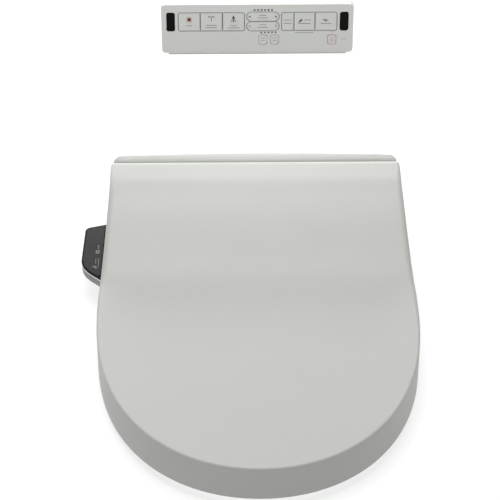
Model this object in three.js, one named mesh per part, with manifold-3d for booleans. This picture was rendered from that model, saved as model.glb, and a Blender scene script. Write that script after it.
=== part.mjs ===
// Electric bidet seat with its wall-held remote control, in millimetres, +Z up.
// The origin is on the flat underside of the mounting plate, midway between the two bowl bolts.
// The front of the seat points along -Y and the side control panel is on the -X side.
import * as THREE from 'three';
import { mergeVertices } from 'three/addons/utils/BufferGeometryUtils.js';
import Module from 'manifold-3d';

const wasm = await Module();
wasm.setup();

// ---------------------------------------------------------------- driving dimensions
const GAP = 0.3;            // clearance between neighbouring pieces
const RUNNING = 0.08;       // radial clearance of a turning fit
const WALL = 3;             // moulded wall thickness

const LID = {
  halfWidth: 190, widestY: -158, frontY: -465, rearHalfWidth: 181, straightFromY: 2, corner: 7,
  bottom: 12, frontHeight: 54, frontSlope: 0.03, shoulderY: -143, shoulderEndY: 4, crownHeight: 127.3,
  top: 128, wall: 3.5, roof: 4.2, skirtRearY: -130, skirtRaised: 54,
};
const LID_BUMPER = { x: 140, y: -330, radius: 7, lift: 0.6 };
const HINGE = { y: 26, z: 106, crownRadius: 22, rollRadius: 25, rollFrom: 50, pinRadius: 6, eyeRadius: 15 };
const SEAT = { inset: 7, bottom: 8, frontHeight: 40, rearY: -62, rearHeight: 54, wall: 3.5 };
const OPENING = { y: -250, halfWidth: 106, halfLength: 142 };
const TUNNEL = { halfWidth: 38, frontY: -140, top: 44 };     // nozzle tunnel under the rear of the seat
const UNDERSIDE = { thickness: 3, edge: 0.4 };
const HEATER = { thickness: 0.8, inset: 14 };
const SEAT_BUMPERS = { front: [95, -392], rear: [140, -120] };
const SEAT_BUMPER = { halfWidth: 7, halfLength: 16, corner: 6.5 };
const BASE = { halfWidth: 180, coreHalfWidth: 146, rearHalfWidth: 171, rearY: 62, frontY: -60, noseY: -56,
  bottom: 6.5, shoulder: 50.5, split: 64, roofGap: 2.5, rimTop: 124, rearCorner: 14 };
// The rim behind the lid: its rear edge bows from endY to middleY and its front edge is rounded.
const LIP = { halfWidth: 178.5, endX: 172, bottom: 113, frontY: 53, endY: 60.5, middleY: 65.5, round: 7 };
const TROUGH_RADIUS = HINGE.rollRadius + 0.6;
const ARM = { x0: 148, x1: 158 };       // seat hinge arms
const LUG = { x0: 161, x1: 171 };       // lid hinge lugs
const BARREL = { x0: 112, x1: 146, radius: 16 };
const PANEL = { top: 50, bottom: 36.5 };
const WINDOW = { halfWidth: 33, bottom: 24, top: 50 };       // where the nozzles leave the base
const INLET = { x: -120, z: 26, thread: 10.4, flats: 14, bore: 6.5, clearance: 1 };
const GLAND = { x: 120, z: 26, radius: 9, flange: 12.5, bore: 4, clearance: 0.4 };
const BUTTON = { y0: -33.6, y1: -6.4, z0: 18.4, z1: 35.6, flange: 3, depth: 9, proud: 0.8 };
const POST = { radius: 3, top: 23.7, places: [[62, -46], [132, -46], [62, 40], [132, 40]] };
const FOOT = { x: 128, halfWidth: 9, halfLength: 30, corner: 8 };
const PLATE = { halfWidth: 112, y0: -45, y1: 45, thickness: 6, boltX: 70 };
const NOZZLE = { x: 14, radius: 5.8, length: 84, tilt: THREE.MathUtils.degToRad(15), tipY: -55, tipZ: 37 };
const CARRIAGE = { radius: 8.2, bore: 6.1, start: 4, length: 82 };
const SPAN = 200;           // half length of a cut that runs right across the seat
const REMOTE = { x: 3.6, width: 240, z0: 235, z1: 302, faceY: 128, splitY: 137, backY: 147, wallY: 150 };

// ---------------------------------------------------------------- materials
const finish = (color, roughness, metalness = 0) => ({ color, roughness, metalness });
const WHITE = finish(0xd6d7d1, 0.32);
const WHITE_INNER = finish(0xc9cac4, 0.5);
const GLOSS_BLACK = finish(0x1c1c1e, 0.12);
const SILVER = finish(0xc4c6c8, 0.25, 0.9);
const STEEL = finish(0xb5b8ba, 0.35, 1);
const BRASS = finish(0xb08d4c, 0.35, 1);
const RUBBER = finish(0x8a8b89, 0.8);
const GREY = finish(0x6e7173, 0.5);
const GREEN = finish(0x2f6b45, 0.5);
const FOIL = finish(0xb5712f, 0.45, 0.6);
const KEY = finish(0xc6c7c4, 0.4);

// ---------------------------------------------------------------- solids
const toSolid = (geometry) => {
  const bare = geometry.clone();
  bare.deleteAttribute('normal');
  bare.deleteAttribute('uv');
  const merged = mergeVertices(bare, 1e-4);
  return new wasm.Manifold(new wasm.Mesh({
    numProp: 3,
    vertProperties: new Float32Array(merged.attributes.position.array),
    triVerts: new Uint32Array(merged.index.array),
  }));
};

const toGeometry = (solid) => {
  const { vertProperties, triVerts } = solid.getMesh();
  const geometry = new THREE.BufferGeometry();
  geometry.setAttribute('position', new THREE.BufferAttribute(vertProperties, 3));
  geometry.setIndex(new THREE.BufferAttribute(triVerts, 1));
  geometry.computeVertexNormals();
  return geometry;
};

// A straight extrusion. Its caps are triangulated on a slightly turned copy of the outline, so that a point
// in line with two others keeps its place in a triangle.
const extrusion = (points, depth) => {
  const origin = new THREE.Vector2();
  const turned = (loop) => loop.map(([u, v]) => new THREE.Vector2(u, v).rotateAround(origin, 0.13));
  const loop = THREE.ShapeUtils.isClockWise(turned(points)) ? points.slice().reverse() : points;
  const count = loop.length;
  const level = (w) => loop.flatMap(([u, v]) => [u, v, w]);
  const index = loop.flatMap((_, i) => {
    const next = (i + 1) % count;
    return [i, next, next + count, i, next + count, i + count];
  });
  for (const [a, b, c] of THREE.ShapeUtils.triangulateShape(turned(loop), [])) {
    index.push(c, b, a, a + count, b + count, c + count);
  }
  const geometry = new THREE.BufferGeometry();
  geometry.setAttribute('position', new THREE.Float32BufferAttribute([...level(0), ...level(depth)], 3));
  geometry.setIndex(index);
  return geometry;
};

// An outline in plan, standing from z0 to z1.
const inPlan = (points, z0, z1) => toSolid(extrusion(points, z1 - z0).translate(0, 0, z0));

// An outline of [y, z] points seen from the side, from x0 to x1.
const alongX = (points, x0, x1) => {
  const axes = new THREE.Matrix4().set(0, 0, 1, x0, 1, 0, 0, 0, 0, 1, 0, 0, 0, 0, 0, 1);
  return toSolid(extrusion(points, x1 - x0).applyMatrix4(axes));
};

// An outline of [x, z] points seen from the front, from y0 to y1.
const alongY = (points, y0, y1) => {
  const axes = new THREE.Matrix4().set(1, 0, 0, 0, 0, 0, -1, y1, 0, 1, 0, 0, 0, 0, 0, 1);
  return toSolid(extrusion(points, y1 - y0).applyMatrix4(axes));
};

const rectangle = (u0, v0, u1, v1) => [[u0, v0], [u1, v0], [u1, v1], [u0, v1]];
const block = (x0, y0, z0, x1, y1, z1) => inPlan(rectangle(x0, y0, x1, y1), z0, z1);

// Points along an arc, angles in degrees from +u towards +v.
const arc = (u, v, radius, from, to, steps) => Array.from({ length: steps + 1 }, (_, i) => {
  const angle = THREE.MathUtils.degToRad(from + (to - from) * i / steps);
  return [u + radius * Math.cos(angle), v + radius * Math.sin(angle)];
});

const circle = (u, v, radius, sides) => arc(u, v, radius, 0, 360, sides).slice(0, -1);

const roundedRectangle = (u0, v0, u1, v1, radius, steps = 4) => [
  ...arc(u1 - radius, v0 + radius, radius, -90, 0, steps),
  ...arc(u1 - radius, v1 - radius, radius, 0, 90, steps),
  ...arc(u0 + radius, v1 - radius, radius, 90, 180, steps),
  ...arc(u0 + radius, v0 + radius, radius, 180, 270, steps),
];

const rodX = (x0, x1, y, z, radius, sides = 24) => alongX(circle(y, z, radius, sides), x0, x1);
const rodY = (y0, y1, x, z, radius, sides = 20) => alongY(circle(x, z, radius, sides), y0, y1);
const rodZ = (z0, z1, x, y, radius, sides = 24) => inPlan(circle(x, y, radius, sides), z0, z1);
const mirrored = (solid) => solid.mirror([1, 0, 0]);
const both = (solid) => solid.add(mirrored(solid));

// ---------------------------------------------------------------- the assembly
const seat = new THREE.Group();

const piece = (name, solid, look) => {
  const material = new THREE.MeshStandardMaterial({ ...look, name, flatShading: true });
  const mesh = new THREE.Mesh(toGeometry(solid), material);
  mesh.name = name;
  seat.add(mesh);
};

const sides = [['left', -1], ['right', 1]];

// ---------------------------------------------------------------- outlines shared by lid and seat
const superellipse = (t, a, b) => [a * Math.cos(t) ** (2 / 2.05), -b * Math.sin(t) ** (2 / 2.6)];

// The D-shaped plan outline, drawn in from the lid's edge by inset, cut straight at rearY.
const planOutline = (inset, rearY, corner, steps = 15, sideSteps = 7) => {
  const waist = LID.halfWidth - LID.rearHalfWidth;
  const sideX = (y) => LID.halfWidth - inset
    - waist * THREE.MathUtils.smoothstep(y, LID.widestY, LID.straightFromY);
  const half = arc(sideX(rearY) - corner, rearY - corner, corner, 90, 0, 3);
  const start = Math.min(rearY - corner, LID.straightFromY);
  for (let i = start < rearY - corner ? 0 : 1; i < sideSteps; i++) {
    const y = start + (LID.widestY - start) * i / sideSteps;
    half.push([sideX(y), y]);
  }
  for (let i = 0; i <= steps; i++) {
    const t = Math.PI / 2 * i / steps;
    const [x, y] = superellipse(t, LID.halfWidth - inset, LID.widestY - LID.frontY - inset);
    half.push([x, LID.widestY + y]);
  }
  half[half.length - 1][0] = 0;
  return [...half, ...half.slice(0, -1).reverse().map(([x, y]) => [-x, y])];
};

const lidTop = (y) => {
  const ramp = LID.frontHeight + LID.frontSlope * (Math.min(y, LID.shoulderY) - LID.frontY);
  const s = THREE.MathUtils.clamp((y - LID.shoulderY) / (LID.shoulderEndY - LID.shoulderY), 0, 1);
  const crown = LID.crownHeight + (LID.top - LID.crownHeight) * Math.max(0, y - LID.shoulderEndY)
    / (HINGE.y - LID.shoulderEndY);
  return ramp + (crown - ramp) * s * s * (3 - 2 * s);
};

// The bore of the right hinge, wider than a running fit on the pin by extra.
const pinBore = (extra) => rodX(100, LUG.x1 + 3, HINGE.y, HINGE.z, HINGE.pinRadius + RUNNING + extra, 32);

// The lid's top line from the hinge forward, lowered by drop; y runs from fromY to toY.
const topLine = (drop, fromY, toY, steps = 12) => {
  const points = [];
  for (let i = 0; i <= steps; i++) {
    const y = fromY + (LID.shoulderY - 8 - fromY) * i / steps;
    points.push([y, lidTop(y) - drop]);
  }
  points.push([toY, lidTop(toY) - drop]);
  return points;
};

// ---------------------------------------------------------------- lid
// The lid's rear roll about the hinge: its radius grows from the crown down to rollFrom degrees, then stays.
const rollLine = (inset, start, end, steps) => Array.from({ length: steps + 1 }, (_, i) => {
  const angle = start + (end - start) * i / steps;
  const s = THREE.MathUtils.smoothstep(90 - angle, 0, 90 - HINGE.rollFrom);
  const radius = HINGE.crownRadius + (HINGE.rollRadius - HINGE.crownRadius) * s - inset;
  const turn = THREE.MathUtils.degToRad(angle);
  return [HINGE.y + radius * Math.cos(turn), HINGE.z + radius * Math.sin(turn)];
});

const lidShell = () => {
  const rollRear = HINGE.y + HINGE.rollRadius;
  const sideProfile = [
    [-480, LID.bottom], [LID.skirtRearY, LID.bottom], [LID.skirtRearY + 12, LID.skirtRaised],
    [HINGE.y - 3, LID.skirtRaised],
    ...rollLine(0, -90, 90, 16),
    ...topLine(0, LID.shoulderEndY, -480),
  ];
  const cavityProfile = [
    [-600, -10], [100, -10],
    [HINGE.y + 60 * Math.cos(-0.35), HINGE.z + 60 * Math.sin(-0.35)],
    ...rollLine(LID.wall, -20, 90, 11),
    ...topLine(LID.roof, LID.shoulderEndY, -600),
  ];
  const outer = inPlan(planOutline(0, rollRear, LID.corner), 0, 140)
    .intersect(alongX(sideProfile, -SPAN, SPAN));
  const cavity = inPlan(planOutline(LID.wall, 120, 0.5), -20, 140)
    .intersect(alongX(cavityProfile, -SPAN, SPAN));
  const web = block(LUG.x0, HINGE.y - 12, HINGE.z, LUG.x1, HINGE.y + 9, LID.top - 2);
  const lug = rodX(LUG.x0, LUG.x1, HINGE.y, HINGE.z, HINGE.eyeRadius).add(web).intersect(outer);
  piece('lid_shell', outer.subtract(cavity).add(both(lug)).subtract(both(pinBore(0.04))), WHITE);
};

const lidBumpers = () => {
  const { x, y, radius, lift } = LID_BUMPER;
  for (const [side, sign] of sides) {
    const bumper = rodZ(seatTopAt(y) + lift, lidTop(y) - LID.roof - GAP, sign * x, y, radius, 16);
    piece(`lid_bumper_${side}`, bumper, RUBBER);
  }
};

// ---------------------------------------------------------------- seat
const openingOutline = (inset, steps = 32) => Array.from({ length: steps }, (_, i) => {
  const t = 2 * Math.PI * i / steps;
  return [(OPENING.halfWidth - inset) * Math.cos(t), OPENING.y + (OPENING.halfLength - inset) * Math.sin(t)];
});

const seatTopAt = (y) => SEAT.frontHeight
  + (SEAT.rearHeight - SEAT.frontHeight) * (y - LID.frontY) / (SEAT.rearY - LID.frontY);

const seatShell = () => {
  const plate = SEAT.bottom + UNDERSIDE.thickness + GAP;
  const profile = (drop) => alongX([[-600, plate - 20], [0, plate - 20], [0, seatTopAt(0) - drop],
    [-600, seatTopAt(-600) - drop]], -SPAN, SPAN);
  const outer = inPlan(planOutline(SEAT.inset, SEAT.rearY, 14), plate, 70)
    .subtract(inPlan(openingOutline(0), 0, 90)).intersect(profile(0));
  const hollow = inPlan(planOutline(SEAT.inset + SEAT.wall, SEAT.rearY - SEAT.wall, 12), plate - 5, 70)
    .subtract(inPlan(openingOutline(-SEAT.wall), 0, 90)).intersect(profile(SEAT.wall));
  const { halfWidth, frontY, top } = TUNNEL;
  const tunnel = block(-halfWidth, frontY, 0, halfWidth, 0, top);
  const outerX = halfWidth + WALL;
  const tunnelWall = block(-outerX, frontY, plate, outerX, SEAT.rearY - 1, top + SEAT.wall).intersect(outer);
  const armSide = [[HINGE.y, HINGE.z + 14.5], [-30, 92], [-75, 54], [-75, 30], [SEAT.rearY, 30], [-50, 52],
    [HINGE.y - 9, HINGE.z - 11.5]];
  const arm = alongX(armSide, ARM.x0, ARM.x1).add(rodX(ARM.x0, ARM.x1, HINGE.y, HINGE.z, HINGE.eyeRadius));
  const shell = outer.subtract(hollow).add(tunnelWall).subtract(tunnel).add(both(arm))
    .subtract(both(pinBore(0.04)));
  piece('seat_shell', shell, WHITE);
};

const seatUnderside = () => {
  const besideTunnel = TUNNEL.halfWidth + WALL + 0.5;
  const tunnel = block(-besideTunnel, TUNNEL.frontY, 0, besideTunnel, 0, 60);
  const ring = (inset, z0, z1) => inPlan(planOutline(SEAT.inset + inset, SEAT.rearY - inset, 12), z0, z1)
    .subtract(inPlan(openingOutline(-inset), 0, 90)).subtract(tunnel);
  const heaterZ = SEAT.bottom + UNDERSIDE.thickness + GAP;
  piece('seat_underside', ring(UNDERSIDE.edge, SEAT.bottom, heaterZ - GAP), WHITE_INNER);
  piece('seat_heater', ring(HEATER.inset, heaterZ, heaterZ + HEATER.thickness), FOIL);
};

const seatBumpers = () => {
  const { halfWidth, halfLength, corner } = SEAT_BUMPER;
  for (const [end, [x, y]] of Object.entries(SEAT_BUMPERS)) {
    for (const [side, sign] of sides) {
      const pad = roundedRectangle(sign * x - halfWidth, y - halfLength, sign * x + halfWidth, y + halfLength,
        corner);
      piece(`seat_bumper_${end}_${side}`, inPlan(pad, 0, SEAT.bottom - GAP), RUBBER);
    }
  }
};

// ---------------------------------------------------------------- base unit
// The rear block in plan, with only its two rear corners rounded, drawn in by inset.
const rearBlock = (inset, frontY = 12) => {
  const x = BASE.rearHalfWidth - inset;
  const y = BASE.rearY - inset;
  const radius = BASE.rearCorner - inset;
  return [[-x, frontY], [x, frontY], ...arc(x - radius, y - radius, radius, 0, 90, 4),
    ...arc(-x + radius, y - radius, radius, 90, 180, 4)];
};

const baseCase = () => {
  const { halfWidth, coreHalfWidth, rearHalfWidth, rearY, frontY, noseY, bottom, shoulder, split } = BASE;
  const wings = inPlan([[-rearHalfWidth, 20], [-halfWidth, 8], [-halfWidth, noseY], [halfWidth, noseY],
    [halfWidth, 8], [rearHalfWidth, 20]], bottom, shoulder);
  const core = block(-coreHalfWidth, frontY, bottom, coreHalfWidth, rearY - 16, split);
  const armPath = alongX([[frontY - 5, 22], [noseY, 22], [-38, shoulder - 1], [-38, 90], [frontY - 5, 90]],
    coreHalfWidth + GAP, ARM.x1 + 2.5);
  const coreHollow = block(-coreHalfWidth + WALL, frontY + WALL, bottom + WALL, coreHalfWidth - WALL,
    rearY - WALL, split + 5);
  const podHollow = block(ARM.x1 + 2.5 + WALL, noseY + WALL, bottom - 5, rearHalfWidth - WALL, rearY - 17,
    shoulder - WALL);
  const windowX = WINDOW.halfWidth;
  const window = block(-windowX, frontY - 5, WINDOW.bottom, windowX, frontY + 5, WINDOW.top);
  const inlet = rodY(rearY - 8, rearY + 8, INLET.x, INLET.z, INLET.thread + INLET.clearance);
  const gland = rodY(rearY - 8, rearY + 8, GLAND.x, GLAND.z, GLAND.radius + GLAND.clearance);
  const { y0, y1, z0, z1 } = BUTTON;
  const buttonHole = block(halfWidth - 25, y0 - 0.4, z0 - 0.4, halfWidth + 5, y1 + 0.4, z1 + 0.4);
  const buttonCell = block(halfWidth - 16, y0 - 4.4, z0 - 4.4, halfWidth - WALL, y1 + 4.4, z1 + 4.4);
  const posts = POST.places.map(([x, y]) => rodZ(bottom, POST.top, x, y, POST.radius, 10));
  const solid = inPlan(rearBlock(0), bottom, split).add(wings).add(core);
  const hollowed = solid.subtract(both(armPath)).subtract(coreHollow);
  const posted = posts.reduce((all, post) => all.add(post), hollowed);
  const openings = [both(podHollow), window, inlet, gland, buttonCell, buttonHole];
  piece('base_case', openings.reduce((shell, opening) => shell.subtract(opening), posted), WHITE_INNER);
};

// The rim in plan.
const rimOutline = (steps = 12) => {
  const { halfWidth, endX, frontY, endY, middleY } = LIP;
  const rear = Array.from({ length: steps + 1 }, (_, i) => {
    const share = 1 - 2 * i / steps;
    return [endX * share, middleY - (middleY - endY) * share * share];
  });
  return [[-halfWidth, frontY], [halfWidth, frontY], [halfWidth, frontY + 1], ...rear, [-halfWidth, frontY + 1]];
};

const upperCase = () => {
  const floor = BASE.split + GAP;
  const { coreHalfWidth, frontY, rearY, rimTop } = BASE;
  const shelf = HINGE.z - TROUGH_RADIUS - 0.4;
  const roof = (offset) => {
    const start = frontY + offset;
    const line = topLine(LID.roof + BASE.roofGap + offset, HINGE.y, start, 10);
    return alongX([[HINGE.y, floor - offset], ...line.filter(([y]) => y >= start), [start, floor - offset]],
      -SPAN, SPAN);
  };
  const round = arc(LIP.frontY + LIP.round, rimTop - LIP.round, LIP.round, 90, 180, 6);
  const rim = alongX([[12, floor], [rearY, floor], [rearY, rimTop], ...round,
    [HINGE.y + TROUGH_RADIUS + 0.6, HINGE.z], [HINGE.y, shelf], [12, shelf]], -SPAN, SPAN);
  const rimHollow = alongX([[0, floor - WALL], [rearY + 1, floor - WALL], [rearY + 1, HINGE.z - 1],
    [rearY - 8, HINGE.z - 1], [HINGE.y, shelf - WALL], [0, shelf - WALL]], -SPAN, SPAN);
  const trough = (offset) => rodX(-200, 200, HINGE.y, HINGE.z, TROUGH_RADIUS + offset, 40);
  const core = (inset) => block(-coreHalfWidth + inset, frontY, 0, coreHalfWidth - inset, HINGE.y + 4, 140);
  const rear = (inset) => inPlan(rearBlock(inset, 12 + inset), 0, 140);
  const lip = inPlan(rimOutline(), LIP.bottom, rimTop)
    .intersect(alongX([[rearY + 20, LIP.bottom - 1], [rearY + 20, rimTop], ...round,
      [LIP.frontY, LIP.bottom - 1]], -SPAN, SPAN));
  const outside = core(0).intersect(roof(0)).add(rear(0).intersect(rim)).subtract(trough(0)).add(lip);
  const inside = core(WALL).intersect(roof(WALL)).add(rear(WALL).intersect(rimHollow)).subtract(trough(WALL));
  const barrel = rodX(BARREL.x0, BARREL.x1, HINGE.y, HINGE.z, BARREL.radius)
    .add(block(BARREL.x0, 2, HINGE.z - 11, BARREL.x1, HINGE.y - 8, HINGE.z + 11));
  piece('upper_case', outside.subtract(inside).add(both(barrel)).subtract(both(pinBore(0))), WHITE);
};

const hingeHardware = () => {
  for (const [side, sign] of sides) {
    const flip = (solid) => (sign < 0 ? mirrored(solid) : solid);
    const pin = rodX(BARREL.x0 + 0.5, LUG.x1 + 1.5, HINGE.y, HINGE.z, HINGE.pinRadius, 32);
    piece(`hinge_pin_${side}`, flip(pin), STEEL);
    const damper = rodX(84, BARREL.x0 - GAP, HINGE.y, HINGE.z, 13);
    piece(`soft_close_damper_${side}`, flip(damper), GREY);
  }
};

const sideControl = () => {
  const { top, bottom } = PANEL;
  const innerX = -BASE.halfWidth - GAP;
  const outline = (inset) => [
    [innerX, 20.1 - inset], ...arc(-205.2, 1.6, 10 - inset, 100, 180, 6),
    ...arc(-170.2, -60, 46 - inset, 180, 225, 8), [-189.5, -105.8 + inset], [-184, -106.5 + inset],
    [innerX, -56]];
  const body = inPlan(outline(0.8), bottom, top - 3.6);
  const tray = inPlan(outline(3.2), bottom + 3, top - 1);
  piece('side_control_arm', body.subtract(tray), WHITE_INNER);
  piece('side_control_trim', inPlan(outline(0), top - 3.3, top - 1.9)
    .subtract(inPlan(outline(4), bottom, top)), SILVER);
  piece('side_control_panel', inPlan(outline(0.5), top - 1.6, top), GLOSS_BLACK);
};

const releaseButton = () => {
  const { y0, y1, z0, z1, flange, depth, proud } = BUTTON;
  const start = BASE.halfWidth - depth;
  const cap = block(start, y0, z0, BASE.halfWidth + proud, y1, z1);
  const stop = block(start, y0 - flange, z0 - flange, BASE.halfWidth - WALL - GAP, y1 + flange, z1 + flange);
  piece('release_button', cap.add(stop), GREY);
};

// ---------------------------------------------------------------- wash system
const alongNozzle = (x, build) => {
  const down = new THREE.Matrix4().makeRotationX(NOZZLE.tilt);
  down.setPosition(x, NOZZLE.tipY, NOZZLE.tipZ);
  return toSolid(toGeometry(build()).applyMatrix4(down));
};

const nozzles = () => {
  const looks = finish(0xdcdddb, 0.25);
  const guideStart = 14;
  const guideEnd = 72;
  for (const [use, sign, sprays] of [['rear_wash', 1, [9]], ['front_wash', -1, [7, 13]]]) {
    const x = sign * NOZZLE.x;
    const tube = () => {
      const tip = rodY(0, 3.2, 0, 0, NOZZLE.radius - 1.6);
      const body = rodY(3, NOZZLE.length, 0, 0, NOZZLE.radius).add(tip);
      const holes = sprays.map((y) => rodZ(1, 9, 0, y, 1.1, 8));
      return holes.reduce((rod, hole) => rod.subtract(hole), body);
    };
    const sleeve = () => rodY(CARRIAGE.start + 12, CARRIAGE.start + CARRIAGE.length, 0, 0, CARRIAGE.radius)
      .subtract(rodY(0, 200, 0, 0, CARRIAGE.bore));
    piece(`${use}_nozzle`, alongNozzle(x, tube), looks);
    piece(`${use}_carriage`, alongNozzle(x, sleeve), GREY);
  }
  const guide = alongNozzle(0, () => {
    let rail = block(-30, guideStart + 6, -12.5, 30, guideEnd, 11);
    for (const x of [-NOZZLE.x, NOZZLE.x]) rail = rail.subtract(rodY(10, 90, x, 0, CARRIAGE.radius + 0.35));
    return rail;
  });
  piece('nozzle_guide', guide, GREY);
  for (const [side, sign] of sides) {
    const motor = alongNozzle(0, () => {
      const can = rodX(31, 49, 42, -1, 9.5).add(block(30.4, 28, -4, 32, 56, 2));
      return sign < 0 ? mirrored(can) : can;
    });
    piece(`nozzle_motor_${side}`, motor, STEEL);
  }
};

const internals = () => {
  const floor = BASE.bottom + WALL + GAP;
  const tank = inPlan(roundedRectangle(-136, -50, -66, 40, 8), floor, 76);
  piece('water_heater_tank', tank, GREY);
  piece('water_inlet_valve', block(-60, 22, floor, -34, 54, 34).add(rodZ(34, 48, -47, 38, 8)), GREY);
  piece('wash_pump', inPlan(roundedRectangle(-60, -48, -38, 12, 4), floor, 30), GREY);
  piece('main_board', block(56, -50, 24, 138, 44, 25.6).add(block(62, -40, 25.6, 84, -12, 44))
    .add(block(100, -36, 25.6, 130, -20, 36)).add(rodZ(25.6, 46, 96, 20, 8, 12)), GREEN);
  const { rearY } = BASE;
  const thread = rodY(rearY - 12, rearY + 14, INLET.x, INLET.z, INLET.thread)
    .add(alongY(circle(INLET.x, INLET.z, INLET.flats, 6), rearY + GAP, rearY + 5))
    .subtract(rodY(rearY - 2, rearY + 20, INLET.x, INLET.z, INLET.bore));
  piece('water_inlet', thread, BRASS);
  const gland = rodY(rearY - 9, rearY + 0.5, GLAND.x, GLAND.z, GLAND.radius)
    .add(rodY(rearY + GAP, rearY + 4, GLAND.x, GLAND.z, GLAND.flange))
    .subtract(rodY(0, 90, GLAND.x, GLAND.z, GLAND.bore));
  piece('power_gland', gland, RUBBER);
};

const feet = () => {
  const { halfWidth, halfLength, corner } = FOOT;
  for (const [side, sign] of sides) {
    const x = sign * FOOT.x;
    const pad = roundedRectangle(x - halfWidth, -halfLength, x + halfWidth, halfLength, corner);
    piece(`base_foot_${side}`, inPlan(pad, 0, BASE.bottom - GAP), RUBBER);
  }
};

// ---------------------------------------------------------------- bowl mounting plate
const mountingPlate = () => {
  const { halfWidth, y0, y1, thickness, boltX } = PLATE;
  const slot = (grow, z0, z1) => both(inPlan(
    roundedRectangle(boltX - 9 - grow, -26 - grow, boltX + 9 + grow, 26 + grow, 8 + grow, 6), z0, z1));
  const plate = inPlan(roundedRectangle(-halfWidth, y0, halfWidth, y1, 12), 0, thickness)
    .subtract(slot(0, -1, 20)).subtract(slot(6, 3.5, 20));
  piece('mounting_plate', plate, STEEL);
  for (const [side, sign] of sides) {
    const x = sign * boltX;
    const bushing = inPlan(roundedRectangle(x - 14, -16, x + 14, 16, 10), 3.5 + GAP, thickness)
      .add(inPlan(circle(x, 0, 8.4, 20), 0.5, 4.5)).subtract(rodZ(-1, 20, x, 0, 4.2, 16));
    piece(`bolt_bushing_${side}`, bushing, GREY);
  }
};

// ---------------------------------------------------------------- remote control
// Each key: centre x and z from the remote's own centre and bottom edge, width, height and corner radius.
const keyRow = { z: 43.4, height: 25 };
const KEYS = {
  key_stop: [-85.2, keyRow.z, 26.4, keyRow.height, 2],
  key_rear_wash: [-57.5, keyRow.z, 26.4, keyRow.height, 2],
  key_front_wash: [-29.8, keyRow.z, 26.4, keyRow.height, 2],
  key_clean: [38.0, keyRow.z, 14.4, keyRow.height, 2],
  key_power_wash: [58.8, keyRow.z, 25, keyRow.height, 2],
  key_massage: [85.9, keyRow.z, 26.4, keyRow.height, 2],
  key_water_heat: [7.0, 18.5, 10.6, 14.2, 2],
  key_seat_heat: [21.6, 18.5, 10.6, 14.2, 2],
  key_power: [93.6, 18.2, 10.8, 14.2, 1.5],
};
const ROCKERS = { rocker_pressure: 50.3, rocker_position: 37.0 };
const ROCKER = { x: 6.9, width: 39.6, height: 11.8 };
const KEY_DEPTH = 4;
const IR_WINDOW = { x: 108.5, width: 10.6, z0: 30.3, z1: 56.3, corner: 2.8 };

const irWindow = (sign, grow) => {
  const middle = REMOTE.x + sign * IR_WINDOW.x;
  const half = IR_WINDOW.width / 2 + grow;
  return roundedRectangle(middle - half, REMOTE.z0 + IR_WINDOW.z0 - grow, middle + half,
    REMOTE.z0 + IR_WINDOW.z1 + grow, IR_WINDOW.corner + grow);
};

const remoteCase = () => {
  const { x, width, z0, z1, faceY, splitY, backY } = REMOTE;
  const x0 = x - width / 2;
  const x1 = x + width / 2;
  let front = alongY(roundedRectangle(x0, z0, x1, z1, 5), faceY, splitY)
    .subtract(block(x0 + 3, faceY + 5.2, z0 + 3, x1 - 3, splitY + 5, z1 - 3));
  for (const [cx, cz, w, h, r] of Object.values(KEYS)) {
    const hole = roundedRectangle(x + cx - w / 2 - 0.25, z0 + cz - h / 2, x + cx + w / 2 + 0.25,
      z0 + cz + h / 2, r);
    front = front.subtract(alongY(hole, faceY - 5, faceY + 6));
  }
  for (const cz of Object.values(ROCKERS)) {
    const hole = roundedRectangle(x + ROCKER.x - ROCKER.width / 2 - 0.3, z0 + cz - ROCKER.height / 2 - 0.3,
      x + ROCKER.x + ROCKER.width / 2 + 0.3, z0 + cz + ROCKER.height / 2 + 0.3, 5.9);
    front = front.subtract(alongY(hole, faceY - 5, faceY + 6));
  }
  for (const [, sign] of sides) front = front.subtract(alongY(irWindow(sign, GAP), faceY - 5, faceY + 6));
  piece('remote_front', front, WHITE);
  const back = alongY(roundedRectangle(x0 + 6, z0 + 3, x1 - 6, z1 - 5, 4), splitY + GAP, backY)
    .subtract(block(x0 + 9, splitY - 1, z0 + 6, x1 - 9, backY - 2.5, z1 - 8))
    .subtract(block(x - 36, backY - 1.6, z0 + 12, x + 36, backY + 1, z1 - 4))
    .subtract(block(x - 32, backY - 5, z0 + 15, x + 32, backY + 1, z1 - 26));
  piece('remote_back', back, WHITE_INNER);
  piece('battery_door', block(x - 35.6, backY - 1.3, z0 + 12.4, x + 35.6, backY - 0.1, z1 - 22), WHITE_INNER);
  for (const [i, z] of [[0, z0 + 20.6], [1, z0 + 34]]) {
    const cell = rodX(x - 25, x + 24, backY - 8, z, 5.2, 16).add(rodX(x + 24, x + 26, backY - 8, z, 1.9, 10));
    piece(`battery_${i + 1}`, cell, finish(0x4b6f9e, 0.35, 0.3));
  }
  piece('remote_board', block(x0 + 12, faceY + 6.6, z0 + 9, x1 - 12, faceY + 8.2, z1 - 9)
    .subtract(block(x - 30, faceY, z0 + 14, x + 30, backY, z0 + 41)), GREEN);
};

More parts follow.
